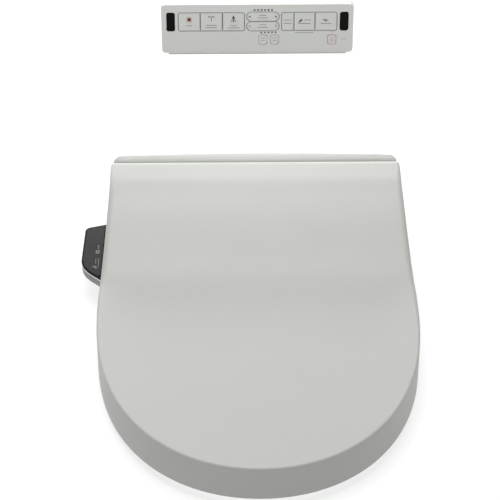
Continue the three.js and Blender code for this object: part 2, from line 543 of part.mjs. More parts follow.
const remoteKeys = () => {
  const { x, z0, faceY } = REMOTE;
  for (const [name, [cx, cz, w, h, r]] of Object.entries(KEYS)) {
    const cap = roundedRectangle(x + cx - w / 2, z0 + cz - h / 2 + 0.25, x + cx + w / 2,
      z0 + cz + h / 2 - 0.25, r - 0.2, 3);
    piece(name, alongY(cap, faceY + 0.1, faceY + KEY_DEPTH), KEY);
  }
  for (const [name, cz] of Object.entries(ROCKERS)) {
    const cap = roundedRectangle(x + ROCKER.x - ROCKER.width / 2, z0 + cz - ROCKER.height / 2,
      x + ROCKER.x + ROCKER.width / 2, z0 + cz + ROCKER.height / 2, 5.6);
    piece(name, alongY(cap, faceY + 0.1, faceY + KEY_DEPTH), KEY);
  }
  for (const [side, sign] of sides) {
    piece(`infrared_window_${side}`, alongY(irWindow(sign, 0), faceY + 0.2, faceY + 3.5), GLOSS_BLACK);
  }
};

const remoteHolder = () => {
  const { x, width, z0, z1, faceY, backY, wallY } = REMOTE;
  const x0 = x - width / 2 + 8;
  const x1 = x + width / 2 - 8;
  const holder = alongY(roundedRectangle(x0, z0 - 4, x1, z1 - 12, 3.5), backY + GAP, wallY)
    .add(block(x0, faceY + 3.5, z0 - 4, x1, backY + 1, z0 - GAP));
  piece('remote_holder', holder, WHITE_INNER);
};

// ---------------------------------------------------------------- build
mountingPlate();
feet();
baseCase();
upperCase();
hingeHardware();
sideControl();
releaseButton();
nozzles();
internals();
seatShell();
seatUnderside();
seatBumpers();
lidShell();
lidBumpers();
remoteCase();
remoteKeys();
remoteHolder();

export default seat;
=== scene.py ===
import math

import bmesh
import bpy
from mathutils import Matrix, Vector


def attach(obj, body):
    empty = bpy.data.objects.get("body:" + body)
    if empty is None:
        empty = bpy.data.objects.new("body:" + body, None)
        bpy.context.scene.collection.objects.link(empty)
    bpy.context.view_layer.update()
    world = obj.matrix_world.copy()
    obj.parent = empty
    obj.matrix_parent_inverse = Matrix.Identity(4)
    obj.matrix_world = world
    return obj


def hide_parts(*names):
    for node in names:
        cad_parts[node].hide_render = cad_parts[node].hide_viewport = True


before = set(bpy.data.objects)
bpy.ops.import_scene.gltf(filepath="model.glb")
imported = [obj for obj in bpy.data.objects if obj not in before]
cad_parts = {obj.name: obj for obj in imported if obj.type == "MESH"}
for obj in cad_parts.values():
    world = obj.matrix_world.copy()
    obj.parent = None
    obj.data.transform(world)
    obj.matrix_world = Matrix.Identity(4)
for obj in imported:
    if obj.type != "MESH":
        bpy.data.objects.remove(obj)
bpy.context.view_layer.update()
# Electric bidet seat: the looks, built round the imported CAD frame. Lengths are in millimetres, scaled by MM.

MM = 0.001

# ------------------------------------------------------------------ dimensions
# Outer shapes follow the CAD model. Walls, undersides and the edges of the tunnel are drawn a little finer.
LID = dict(half_width=190.0, widest_y=-158.0, front_y=-465.0, rear_half=181.0, straight_y=2.0, wall=2.8,
           bottom=12.0, raised=54.0, skirt_y=-130.0, skirt_rise=12.0,
           front_z=54.0, slope=0.03, shoulder_y=-143.0, shoulder_end=4.0, crown_z=127.3, top_z=128.0,
           edge=2.6, side_edge=8.0, rear_edge=4.5)
HINGE_Y, HINGE_Z, CROWN, ROLL, ROLL_FROM = 26.0, 106.0, 22.0, 25.0, 50.0
LUG = dict(radius=15.0, x0=161.0, x1=171.0)
SEAT = dict(inset=7.0, bottom=11.3, front_z=40.0, rear_y=-62.0, rear_z=54.0, corner=16.0, edge=12.0, lip=9.0,
            lip_drop=5.0, dish=3.4, arm_x0=148.0, arm_x1=158.0)
OPENING = dict(y=-250.0, half_width=106.0, half_length=142.0)
TUNNEL = dict(front_y=-150.0, top=44.0, half_width=36.0, edge_x=39.0)   # under the rear of the seat


# ------------------------------------------------------------------ camera, light and floor
def set_stage():
    pitch, turn = math.radians(34.0), 0.012
    camera = bpy.data.cameras.new("camera")
    camera.sensor_width = 36.0
    camera.lens = 140.09
    camera.clip_end = 50.0
    eye = bpy.data.objects.new("camera", camera)
    eye.location = (-0.03172, -2.04679, 1.40133)
    eye.rotation_euler = (math.radians(90.0) - pitch, 0.0, -turn)
    bpy.context.scene.collection.objects.link(eye)
    bpy.context.scene.camera = eye

    scene = bpy.context.scene
    scene.view_settings.view_transform = "Standard"
    scene.view_settings.look = "None"
    world = bpy.data.worlds.new("studio")
    scene.world = world
    world.use_nodes = True
    background = world.node_tree.nodes["Background"]
    background.inputs["Color"].default_value = (1.0, 1.0, 1.0, 1.0)
    background.inputs["Strength"].default_value = 0.05

    def softbox(name, place, aim, size, watts, spread=180.0):
        light = bpy.data.lights.new(name, "AREA")
        light.shape = "RECTANGLE"
        light.size, light.size_y = size
        light.energy = watts
        light.spread = math.radians(spread)
        lamp = bpy.data.objects.new(name, light)
        lamp.location = place
        lamp.visible_camera = False
        lamp.rotation_euler = (Vector(aim) - Vector(place)).to_track_quat("-Z", "Y").to_euler()
        scene.collection.objects.link(lamp)

    softbox("softbox_top", (-0.15, -0.2, 2.4), (0.0, -0.35, 0.0), (1.6, 1.4), 58.0)
    softbox("softbox_back", (-0.3, 2.6, 0.8), (0.0, -0.1, 0.1), (3.0, 0.8), 46.0)
    softbox("softbox_front", (0.0, -0.45, 1.0), (0.0, 0.13, 0.27), (0.5, 0.15), 0.12, 40.0)

    sheet = bpy.data.meshes.new("floor")
    reach, low = 60.0, -0.0002
    corners = [(-reach, -reach, low), (reach, -reach, low), (reach, reach, low), (-reach, reach, low)]
    sheet.from_pydata(corners, [], [(0, 1, 2, 3)])
    floor = bpy.data.objects.new("floor", sheet)
    scene.collection.objects.link(floor)
    paper = bpy.data.materials.new("studio_paper")
    paper.use_nodes = True
    shader = paper.node_tree.nodes["Principled BSDF"]
    shader.inputs["Base Color"].default_value = (0.28, 0.28, 0.28, 1.0)
    shader.inputs["Roughness"].default_value = 0.9
    shader.inputs["Emission Color"].default_value = (1.0, 1.0, 1.0, 1.0)
    shader.inputs["Emission Strength"].default_value = 0.76
    floor.data.materials.append(paper)


set_stage()


# ------------------------------------------------------------------ materials
IOR, SMUDGE = 1.46, 0.06


def shader_material(name, color, roughness, metallic=0.0, coat=0.0, coat_roughness=0.1, specular=0.5,
                    mottle=0.03, peel=0.0, peel_scale=900.0, grain=0.0, grain_scale=6000.0):
    """A Principled material: faint colour mottle, smudged roughness, moulded peel and fine grain as bump."""
    material = bpy.data.materials.new(name)
    material.use_nodes = True
    tree = material.node_tree
    nodes, links = tree.nodes, tree.links
    shader = nodes["Principled BSDF"]
    shader.inputs["Metallic"].default_value = metallic
    shader.inputs["IOR"].default_value = IOR
    shader.inputs["Specular IOR Level"].default_value = specular
    shader.inputs["Coat Weight"].default_value = coat
    shader.inputs["Coat Roughness"].default_value = coat_roughness
    place = nodes.new("ShaderNodeTexCoord")

    def noise(scale, detail):
        node = nodes.new("ShaderNodeTexNoise")
        node.inputs["Scale"].default_value = scale
        node.inputs["Detail"].default_value = detail
        links.new(place.outputs["Object"], node.inputs["Vector"])
        return node

    tone = noise(14.0, 3.0)
    ramp = nodes.new("ShaderNodeMix")
    ramp.data_type = "RGBA"
    links.new(tone.outputs["Fac"], ramp.inputs["Factor"])
    ramp.inputs["A"].default_value = (*[c * (1.0 - mottle) for c in color], 1.0)
    ramp.inputs["B"].default_value = (*[min(1.0, c * (1.0 + mottle)) for c in color], 1.0)
    links.new(ramp.outputs["Result"], shader.inputs["Base Color"])

    rough = nodes.new("ShaderNodeMapRange")
    links.new(noise(45.0, 4.0).outputs["Fac"], rough.inputs["Value"])
    rough.inputs["From Min"].default_value = 0.3
    rough.inputs["From Max"].default_value = 0.7
    rough.inputs["To Min"].default_value = max(0.02, roughness * (1.0 - SMUDGE))
    rough.inputs["To Max"].default_value = min(1.0, roughness * (1.0 + SMUDGE))
    links.new(rough.outputs["Result"], shader.inputs["Roughness"])

    normal = None
    for strength, scale, detail, depth in ((peel, peel_scale, 1.0, 2e-5), (grain, grain_scale, 2.0, 6e-6)):
        if strength:
            bump = nodes.new("ShaderNodeBump")
            bump.inputs["Strength"].default_value = strength
            bump.inputs["Distance"].default_value = depth
            links.new(noise(scale, detail).outputs["Fac"], bump.inputs["Height"])
            if normal:
                links.new(normal.outputs["Normal"], bump.inputs["Normal"])
            normal = bump
    if normal:
        links.new(normal.outputs["Normal"], shader.inputs["Normal"])
    return material


WHITE = shader_material("white_gloss", (0.535, 0.542, 0.515), 0.46, specular=0.3, mottle=0.012,
                        peel=0.2, peel_scale=700.0)
WHITE_INNER = shader_material("white_satin", (0.56, 0.565, 0.54), 0.5, mottle=0.02, grain=0.6)
BLACK = shader_material("black_gloss", (0.006, 0.006, 0.006), 0.22, specular=0.2, coat=0.05, mottle=0.05)
WINDOW = shader_material("window_black", (0.003, 0.003, 0.003), 0.3, specular=0.12, mottle=0.05)
# The side arm's wall: white plastic coloured down to grey. The grey is painted shade, for the shade under the
# panel's overhang.
ARM_PAINTED_SHADE = shader_material("arm_white_painted_shade", (0.34, 0.343, 0.33), 0.55, specular=0.3, mottle=0.05, grain=1.0,
                      grain_scale=1600.0)
SILVER = shader_material("silver_trim", (0.86, 0.87, 0.87), 0.3, metallic=0.7, grain=0.3)
STEEL = shader_material("steel", (0.55, 0.56, 0.57), 0.34, metallic=1.0, grain=0.8, grain_scale=2500.0)
BRASS = shader_material("brass", (0.62, 0.43, 0.17), 0.3, metallic=1.0, mottle=0.08, grain=0.5)
RUBBER = shader_material("rubber", (0.20, 0.205, 0.20), 0.75, mottle=0.08, grain=0.9)
GREY = shader_material("grey_plastic", (0.13, 0.135, 0.14), 0.45, mottle=0.05, grain=0.8)
NOZZLE = shader_material("nozzle_plastic", (0.72, 0.725, 0.71), 0.18, coat=0.4, mottle=0.02)
KEY = shader_material("key_plastic", (0.73, 0.74, 0.715), 0.4, mottle=0.015, peel=0.2, peel_scale=900.0)
BOARD = shader_material("circuit_board", (0.03, 0.17, 0.07), 0.4, coat=0.4, mottle=0.15)
FOIL = shader_material("heater_foil", (0.45, 0.22, 0.08), 0.4, metallic=0.6, mottle=0.1)
WRAP = shader_material("battery_wrap", (0.05, 0.13, 0.30), 0.25, coat=0.5, mottle=0.05)
INK = shader_material("grey_ink", (0.075, 0.077, 0.075), 0.5, mottle=0.1)
LINE = shader_material("outline_ink", (0.25, 0.253, 0.245), 0.5, mottle=0.05)
PALE_INK = shader_material("pale_ink", (0.30, 0.31, 0.30), 0.5, mottle=0.05)
FAINT = shader_material("faint_ink", (0.40, 0.405, 0.39), 0.5, mottle=0.05)
RED_LINE = shader_material("red_line", (0.62, 0.30, 0.28), 0.5, mottle=0.05)
STOP_INK = shader_material("stop_ink", (0.10, 0.008, 0.008), 0.4, mottle=0.05)
GLASS = shader_material("panel_glass", (0.02, 0.02, 0.0195), 0.3, specular=0.27, coat=0.04,
                        coat_roughness=0.2, mottle=0.04)
# The remote's white plastic, made lighter than the seat's white. The extra lightness is painted light on its
# face, where the lamps give little.
REMOTE_WHITE_PAINTED_LIGHT = shader_material("remote_white_painted_light", (0.74, 0.75, 0.725), 0.42, specular=0.2, mottle=0.01,
                               peel=0.15)


# ------------------------------------------------------------------ mesh helpers
def mesh_object(name, points, faces, material, smooth_angle=38.0):
    mesh = bpy.data.meshes.new(name)
    mesh.from_pydata([(x * MM, y * MM, z * MM) for x, y, z in points], [], faces)
    work = bmesh.new()
    work.from_mesh(mesh)
    bmesh.ops.remove_doubles(work, verts=work.verts, dist=2e-6)
    bmesh.ops.dissolve_degenerate(work, edges=work.edges, dist=1e-6)
    bmesh.ops.recalc_face_normals(work, faces=work.faces)
    work.to_mesh(mesh)
    work.free()
    for face in mesh.polygons:
        face.use_smooth = True
    mesh.set_sharp_from_angle(angle=math.radians(smooth_angle))
    mesh.materials.append(material)
    obj = bpy.data.objects.new(name, mesh)
    bpy.context.scene.collection.objects.link(obj)
    return obj


def add_piece(obj, body, slot, *nodes):
    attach(obj, body)
    if nodes:
        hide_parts(*nodes)
    return obj


def bevel(obj, width, segments=3, angle=30.0):
    edge = obj.modifiers.new("soft_edges", "BEVEL")
    edge.width = width * MM
    edge.segments = segments
    edge.limit_method = "ANGLE"
    edge.angle_limit = math.radians(angle)
    edge.harden_normals = False
    edge.use_clamp_overlap = True


def weigh_normals(obj):
    weigh = obj.modifiers.new("even_shading", "WEIGHTED_NORMAL")
    weigh.keep_sharp = True


def arc(u, v, radius, start, end, steps):
    """Points on an arc; angles in degrees from +u towards +v."""
    angles = [math.radians(start + (end - start) * i / steps) for i in range(steps + 1)]
    return [(u + radius * math.cos(a), v + radius * math.sin(a)) for a in angles]


def rounded(u0, v0, u1, v1, radius, steps=6):
    return (arc(u1 - radius, v0 + radius, radius, -90, 0, steps)
            + arc(u1 - radius, v1 - radius, radius, 0, 90, steps)
            + arc(u0 + radius, v1 - radius, radius, 90, 180, steps)
            + arc(u0 + radius, v0 + radius, radius, 180, 270, steps))


PLANES = {"x": lambda u, v, w: (w, u, v), "y": lambda u, v, w: (u, w, v), "z": lambda u, v, w: (u, v, w)}


def prism(name, outline, w0, w1, along, material, soft=0.0, segments=3):
    """An outline extruded along x, y or z from w0 to w1."""
    place = PLANES[along]
    n = len(outline)
    points = [place(u, v, w0) for u, v in outline] + [place(u, v, w1) for u, v in outline]
    faces = [tuple(range(n))[::-1], tuple(range(n, 2 * n))]
    faces += [(i, (i + 1) % n, (i + 1) % n + n, i + n) for i in range(n)]
    obj = mesh_object(name, points, faces, material)
    if soft:
        bevel(obj, soft, segments)
        weigh_normals(obj)
    return obj


def smoothstep(value, start, end):
    s = min(1.0, max(0.0, (value - start) / (end - start)))
    return s * s * (3.0 - 2.0 * s)


# ------------------------------------------------------------------ lid
def lid_top(y):
    ramp = LID["front_z"] + LID["slope"] * (min(y, LID["shoulder_y"]) - LID["front_y"])
    rise = max(0.0, y - LID["shoulder_end"]) / (HINGE_Y - LID["shoulder_end"])
    crown = LID["crown_z"] + (LID["top_z"] - LID["crown_z"]) * rise
    return ramp + (crown - ramp) * smoothstep(y, LID["shoulder_y"], LID["shoulder_end"])


def roll_radius(angle):
    """Radius of the lid's rear roll about the hinge; the angle is in degrees above the rearward direction."""
    return CROWN + (ROLL - CROWN) * smoothstep(90.0 - angle, 0.0, 90.0 - ROLL_FROM)


def half_outline(inset=0.0, rear_y=HINGE_Y, side_steps=34, front_steps=64):
    """The right half of the D-shaped plan as (x, y, inward normal), from the rear to the tip."""
    waist = LID["half_width"] - LID["rear_half"]
    side_power, front_power = 2.05, 2.6
    points = []
    for i in range(side_steps):
        y = rear_y + (LID["widest_y"] - rear_y) * i / side_steps
        narrowing = waist * smoothstep(y, LID["widest_y"], LID["straight_y"])
        points.append((LID["half_width"] - inset - narrowing, y))
    a = LID["half_width"] - inset
    b = LID["widest_y"] - LID["front_y"] - inset
    for i in range(front_steps + 1):
        t = math.pi / 2 * i / front_steps
        points.append((a * max(0.0, math.cos(t)) ** (2 / side_power),
                       LID["widest_y"] - b * math.sin(t) ** (2 / front_power)))
    points[-1] = (0.0, points[-1][1])
    result = []
    for i, (x, y) in enumerate(points):
        before = points[max(0, i - 1)]
        after = points[i + 1] if i + 1 < len(points) else (-points[i - 1][0], points[i - 1][1])
        tangent = Vector((after[0] - before[0], after[1] - before[1])).normalized()
        result.append((x, y, (tangent.y, -tangent.x)))
    return result


def skirt_bottom(y):
    lift = min(1.0, max(0.0, (y - LID["skirt_y"]) / LID["skirt_rise"]))
    return LID["bottom"] + (LID["raised"] - LID["bottom"]) * lift


def build_lid():
    """The lid as one wall: a roll about the hinge, then the top, both down to a rounded edge and a skirt."""
    columns, rounds, roll_steps = 18, 5, 24
    shares = [0.0, 0.05, 0.2, None, 0.8, 0.95, 1.0]   # down the skirt; None is level with the roll's inside
    roll_start, roll_end = -20.0, 90.0
    stations = []

    def edge_radius(y):
        side = LID["edge"] + (LID["side_edge"] - LID["edge"]) * smoothstep(y, -300.0, -90.0)
        return side + (LID["rear_edge"] - side) * smoothstep(y, -10.0, HINGE_Y)

    def across(rim_x, rim_y, normal, radius, lower):
        """One row from the centre line to the outside of the rounded edge; lower(drop) gives (y, z)."""
        row = []
        for j in range(columns + 1):
            y, z = lower(0.0)
            row.append((rim_x * j / columns, rim_y if rim_y is not None else y, z))
        for j in range(1, rounds + 1):
            b = math.pi / 2 * j / rounds
            out, drop = radius * math.sin(b), radius * (1.0 - math.cos(b))
            y, z = lower(drop)
            row.append((rim_x - normal[0] * out, (rim_y - normal[1] * out) if rim_y is not None else y, z))
        return row

    for i in range(roll_steps):
        angle = roll_start + (roll_end - roll_start) * i / roll_steps
        turn, reach, edge = math.radians(angle), roll_radius(angle), LID["rear_edge"]
        side = LID["rear_half"] - edge
        stations.append((across(side, None, (-1.0, 0.0), edge, lambda drop, a=turn, r=reach: (
            HINGE_Y + (r - drop) * math.cos(a), HINGE_Z + (r - drop) * math.sin(a))), None))
    for x, y, normal in half_outline():
        radius = edge_radius(y)
        rim_x, rim_y = x + normal[0] * radius, y + normal[1] * radius
        top = lid_top(rim_y)
        row = across(max(0.0, rim_x), rim_y, normal, radius, lambda drop, z=top: (0.0, z - drop))
        stations.append((row, skirt_bottom(y)))

    points, faces = [], []
    width = columns + rounds
    for row, bottom in stations:
        full = [(-x, y, z) for x, y, z in row[:0:-1]] + row
        points.extend(full)
    span = 2 * width + 1
    for k in range(len(stations) - 1):
        for j in range(span - 1):
            a = k * span + j
            faces.append((a, a + 1, a + span + 1, a + span))
    first_wall = len(points)
    split = None
    for k, (row, bottom) in enumerate(stations[roll_steps:]):
        x, y, z = row[-1]
        if split is None:
            split = (z - (HINGE_Z - ROLL + LID["rear_edge"])) / (z - bottom)
        for side in (-1, 1):
            for share in shares[1:]:
                drop = split if share is None else share
                points.append((side * x, y, z - (z - bottom) * drop))
    rows = len(shares) - 1
    for k in range(len(stations) - roll_steps - 1):
        for s, edge in ((0, 0), (1, span - 1)):
            here, there = ([(roll_steps + n) * span + edge] + [first_wall + (n * 2 + s) * rows + r
                                                               for r in range(rows)] for n in (k, k + 1))
            for r in range(rows):
                faces.append((here[r], here[r + 1], there[r + 1], there[r]))
    inner_radius = ROLL - LID["rear_edge"]
    for s, edge in ((0, 0), (1, span - 1)):
        sign = -1 if s == 0 else 1
        rim = [k * span + edge for k in range(roll_steps, -1, -1)]
        tail = []
        for y, z in arc(HINGE_Y, HINGE_Z, inner_radius, -32, -78, 5):
            tail.append(len(points))
            points.append((sign * LID["rear_half"], y, z))
        column = [first_wall + s * rows + r for r in range(2, -1, -1)]
        faces.append(tuple(rim + tail + column))
    lid = mesh_object("lid", points, faces, WHITE, 50.0)
    shell = lid.modifiers.new("wall", "SOLIDIFY")
    shell.thickness = LID["wall"] * MM
    shell.offset = -1.0
    shell.use_even_offset = True
    shell.thickness_clamp = 0.0
    bevel(lid, 0.5, 2, 60.0)
    weigh_normals(lid)
    add_piece(lid, "lid", "white_shell", "lid_shell")

    for side, sign in (("left", -1), ("right", 1)):
        lug_outline = arc(HINGE_Y, HINGE_Z, LUG["radius"], 130, 410, 24)
        lug_outline += [(HINGE_Y + 9.0, HINGE_Z + 17.5), (HINGE_Y - 12.0, HINGE_Z + 18.6)]
        lug = prism(f"lid_lug_{side}", lug_outline, sign * LUG["x0"], sign * LUG["x1"], "x", WHITE_INNER, 0.8)
        add_piece(lug, "lid", "white_shell")


# ------------------------------------------------------------------ seat
def seat_top(y):
    share = (y - LID["front_y"]) / (SEAT["rear_y"] - LID["front_y"])
    return SEAT["front_z"] + (SEAT["rear_z"] - SEAT["front_z"]) * share


def seat_outline():
    half = [(x, y) for x, y, _ in half_outline(SEAT["inset"], SEAT["rear_y"], 20, 64)]
    corner = SEAT["corner"]
    rear_x = half[0][0]
    side = [(x, y) for x, y in half if y < SEAT["rear_y"] - corner]
    rear = arc(rear_x - corner - 0.6, SEAT["rear_y"] - corner, corner, 90, 4, 8)
    right = [(rear_x * share, SEAT["rear_y"]) for share in (0.0, 0.3, 0.6)] + rear + side
    return right + [(-x, y) for x, y in right[-2:0:-1]]


def build_seat():
    outline = seat_outline()
    centre = Vector((0.0, OPENING["y"]))
    polar = sorted((math.atan2(y - centre.y, x), math.hypot(x, y - centre.y)) for x, y in outline)
    polar = [(polar[-1][0] - 2 * math.pi, polar[-1][1])] + polar + [(polar[0][0] + 2 * math.pi, polar[0][1])]

    def outer_radius(angle):
        for (a0, r0), (a1, r1) in zip(polar, polar[1:]):
            if a0 <= angle <= a1 and a1 > a0:
                p0 = Vector((r0 * math.cos(a0), r0 * math.sin(a0)))
                p1 = Vector((r1 * math.cos(a1), r1 * math.sin(a1)))
                direction = Vector((math.cos(angle), math.sin(angle)))
                along = p1 - p0
                return abs(p0.cross(along)) / abs(direction.cross(along))
        return polar[0][1]

    def inner_radius(angle):
        return 1.0 / math.hypot(math.cos(angle) / OPENING["half_width"],
                                math.sin(angle) / OPENING["half_length"])

    stations, edge, lip = 300, SEAT["edge"], SEAT["lip"]
    points, faces = [], []
    for k in range(stations):
        angle = -math.pi + 2 * math.pi * (k + 0.5) / stations
        outer, inner = outer_radius(angle), inner_radius(angle)
        width = outer - inner
        y_mid = centre.y + (inner + width / 2) * math.sin(angle)
        top = seat_top(y_mid)
        brow = top - SEAT["lip_drop"]
        section = [(outer - 1.0, SEAT["bottom"]), (outer, SEAT["bottom"] + 1.0), (outer, top - edge - 1.0)]
        section += [(outer - edge + edge * math.cos(a), top - edge + (edge - 1.0) * math.sin(a))
                    for a in (0.25, 0.6, 0.95, 1.25, 1.5)]
        for s in (0.25, 0.5, 0.75):
            section.append((outer - edge - s * (width - edge - lip - 1.0), top - 1.0 - SEAT["dish"] * s * s))
        section += [(inner + lip - lip * math.sin(a), brow - lip + lip * math.cos(a))
                    for a in (0.1, 0.4, 0.7, 1.0, 1.3, math.pi / 2)]
        section += [(inner, SEAT["bottom"] + 1.0), (inner + 1.0, SEAT["bottom"])]
        for radius, z in section:
            x, y = radius * math.cos(angle), centre.y + radius * math.sin(angle)
            if y > TUNNEL["front_y"]:
                z = max(z, TUNNEL["top"] * (1.0 - smoothstep(abs(x), TUNNEL["half_width"], TUNNEL["edge_x"])))
            points.append((x, y, z))
    rows = len(section)
    for k in range(stations):
        nxt = (k + 1) % stations
        for r in range(rows):
            up = (r + 1) % rows
            faces.append((k * rows + r, nxt * rows + r, nxt * rows + up, k * rows + up))
    ring = mesh_object("seat_ring", points, faces, WHITE, 45.0)
    weigh_normals(ring)
    add_piece(ring, "seat", "white_shell", "seat_shell")

    for side, sign in (("left", -1), ("right", 1)):
        outline = arc(HINGE_Y, HINGE_Z, LUG["radius"], 105, -140, 22)
        outline += [(-50.0, 53.0), (-61.0, 33.0), (-74.0, 33.0), (-80.0, 44.0), (-72.0, 57.0), (-30.0, 91.0)]
        near, far = sign * SEAT["arm_x0"], sign * SEAT["arm_x1"]
        arm = prism(f"seat_arm_{side}", outline, near, far, "x", WHITE, 1.6, 4)
        add_piece(arm, "seat", "white_shell")


# ------------------------------------------------------------------ thin printed shapes
def shapes(name, outlines, w0, w1, along, material, body, slot):
    """One mesh of thin shapes: an entry is an outline, or a ring as a pair (outer, inner) of equal length."""
    place = PLANES[along]
    points, faces = [], []
    for entry in outlines:
        start = len(points)
        if isinstance(entry[0][0], tuple):
            outer, inner = entry
            n = len(outer)
            for w in (w0, w1):
                points.extend(place(u, v, w) for u, v in outer)
                points.extend(place(u, v, w) for u, v in inner)
            for i in range(n):
                j = (i + 1) % n
                a, b, c, d = start, start + n, start + 2 * n, start + 3 * n
                faces += [(a + i, a + j, b + j, b + i), (c + i, c + j, d + j, d + i),
                          (a + i, a + j, c + j, c + i), (b + i, b + j, d + j, d + i)]
        else:
            n = len(entry)
            for w in (w0, w1):
                points.extend(place(u, v, w) for u, v in entry)
            faces += [tuple(range(start, start + n)), tuple(range(start + n, start + 2 * n))]
            for i in range(n):
                j = (i + 1) % n
                faces.append((start + i, start + j, start + n + j, start + n + i))
    obj = mesh_object(name, points, faces, material, 30.0)
    return add_piece(obj, body, slot)


def bar(u, v, width, height=0.55):
    """A short label bar centred at (u, v)."""
    return rounded(u - width / 2, v - height / 2, u + width / 2, v + height / 2, height * 0.45, 2)


def disc(u, v, radius, steps=20):
    return arc(u, v, radius, 0, 360 - 360 / steps, steps - 1)


def ring(u0, v0, u1, v1, radius, width, steps=8):
    return (rounded(u0 - width, v0 - width, u1 + width, v1 + width, radius + width, steps),
            rounded(u0, v0, u1, v1, radius, steps))


def stroke(points, width):
    """A bent line of constant width drawn through the points."""
    left, right = [], []
    for i, (u, v) in enumerate(points):
        before, after = Vector(points[max(0, i - 1)]), Vector(points[min(len(points) - 1, i + 1)])
        side = (after - before).normalized() * width / 2
        left.append((u - side.y, v + side.x))
        right.append((u + side.y, v - side.x))
    return left + right[::-1]


# ------------------------------------------------------------------ side control
PANEL = dict(top=50.0, bottom=36.5, inner_x=-180.3, rear_y=20.1, rear_arc=(-205.2, 1.6, 10.0),
             front_arc=(-170.2, -60.0, 46.0))


def panel_edge(inset, front_end=225):
    """The outer edge of the panel, from its rear round to its front."""
    (rear_x, rear_y, rear_radius), (front_x, front_y, front_radius) = PANEL["rear_arc"], PANEL["front_arc"]
    return (arc(rear_x, rear_y, rear_radius - inset, 100, 180, 16)
            + arc(front_x, front_y, front_radius - inset, 180, front_end, 20))


def panel_outline(inset):
    tip = [(-189.5, -105.8 + inset), (-184.0, -106.5 + inset), (PANEL["inner_x"], -56.0)]
    return [(PANEL["inner_x"], PANEL["rear_y"] - inset)] + panel_edge(inset) + tip


def build_side_control():
    top, glass_x = PANEL["top"], -190.5
    # The arm wall's grey is painted shade laid on a white plastic.
    arm = prism("control_arm", panel_outline(0.9), PANEL["bottom"], top - 3.5, "z", ARM_PAINTED_SHADE, 1.2, 4)
    add_piece(arm, "base", "white_inner", "side_control_arm")
    trim = prism("control_trim", panel_outline(0.1), top - 3.4, top - 1.8, "z", SILVER, 0.3, 2)
    add_piece(trim, "base", "silver_trim", "side_control_trim")
    panel = prism("control_panel", panel_outline(0.5), top - 1.7, top - 0.1, "z", BLACK, 0.7, 3)
    add_piece(panel, "base", "gloss_black", "side_control_panel")

    inset = 2.6
    outline = [(glass_x, PANEL["rear_y"] - inset - 3.4)] + panel_edge(inset, 221)
    outline += [(-194.0, -98.2), (glass_x, -94.0)]
    glass = prism("control_glass", outline, top - 0.12, top, "z", GLASS)
    add_piece(glass, "base", "gloss_black")
    symbols = [bar(-196.2, y, w, 1.2) for y, w in ((-31.5, 1.6), (-34.0, 1.3), (-36.5, 1.6), (-39.0, 1.3))]
    symbols += [(disc(-196.6, -44.5, 2.6, 18), disc(-196.6, -44.5, 1.5, 18)), bar(-196.6, -48.6, 4.6, 1.0)]
    symbols += [bar(-194.4, y, 1.4, 1.2) for y in (-61.0, -63.6, -66.2, -68.8, -71.4, -74.0, -76.6)]
    symbols += [bar(-197.8, y, 1.3, 1.2) for y in (-62.0, -64.8, -67.6, -70.4)]
    symbols += [stroke([(-196.4, -80.6), (-199.0, -76.2), (-201.2, -78.0)], 1.4)]
    symbols += [disc(-197.0, -80.2, 1.4, 12)]
    shapes("control_symbols", symbols, top - 0.02, top + 0.04, "z", PALE_INK, "base", "white_shell")


# ------------------------------------------------------------------ remote control print and caps
REMOTE = dict(x=3.6, z=235.0, face_y=128.0)
SMALL_KEYS = (7.0, 21.6)      # the two small keys' middles along the remote
ROCKERS = (50.3, 37.0)        # the two rockers' heights
ROCKER_MIDDLE = 6.9


def on_face(outlines):
    """Moves outlines drawn from the remote's bottom centre to their place."""
    def move(outline):
        return [(REMOTE["x"] + u, REMOTE["z"] + v) for u, v in outline]
    return [tuple(move(part) for part in entry) if isinstance(entry[0][0], tuple) else move(entry)
            for entry in outlines]


def face_print(name, outlines, sunk, proud, material, body="remote", slot="key_plastic"):
    """Print on the remote's face, from sunk below it to proud of it."""
    face = REMOTE["face_y"]
    shapes(name, on_face(outlines), face + sunk, face + proud, "y", material, body, slot)


def key_print(key, outlines, material=None, suffix="print"):
    face_print(f"{key}_{suffix}", outlines, 0.02, 0.14, material or INK, key)


def rocker_marks(v, filled):
    marks = [bar(ROCKER_MIDDLE, v + 1.8, 8.4), bar(ROCKER_MIDDLE, v - 1.8, 12.4)]
    for sign in (-1, 1):
        tip = ROCKER_MIDDLE + sign * 16.6
        if filled:
            rear = tip - sign * 1.2
            marks.append([(tip + sign * 1.4, v), (rear, v + 1.6), (rear, v - 1.6)])
        else:
            rear = tip - sign * 0.9
            marks.append(stroke([(rear, v + 1.6), (tip + sign * 1.0, v), (rear, v - 1.6)], 0.6))
    return marks


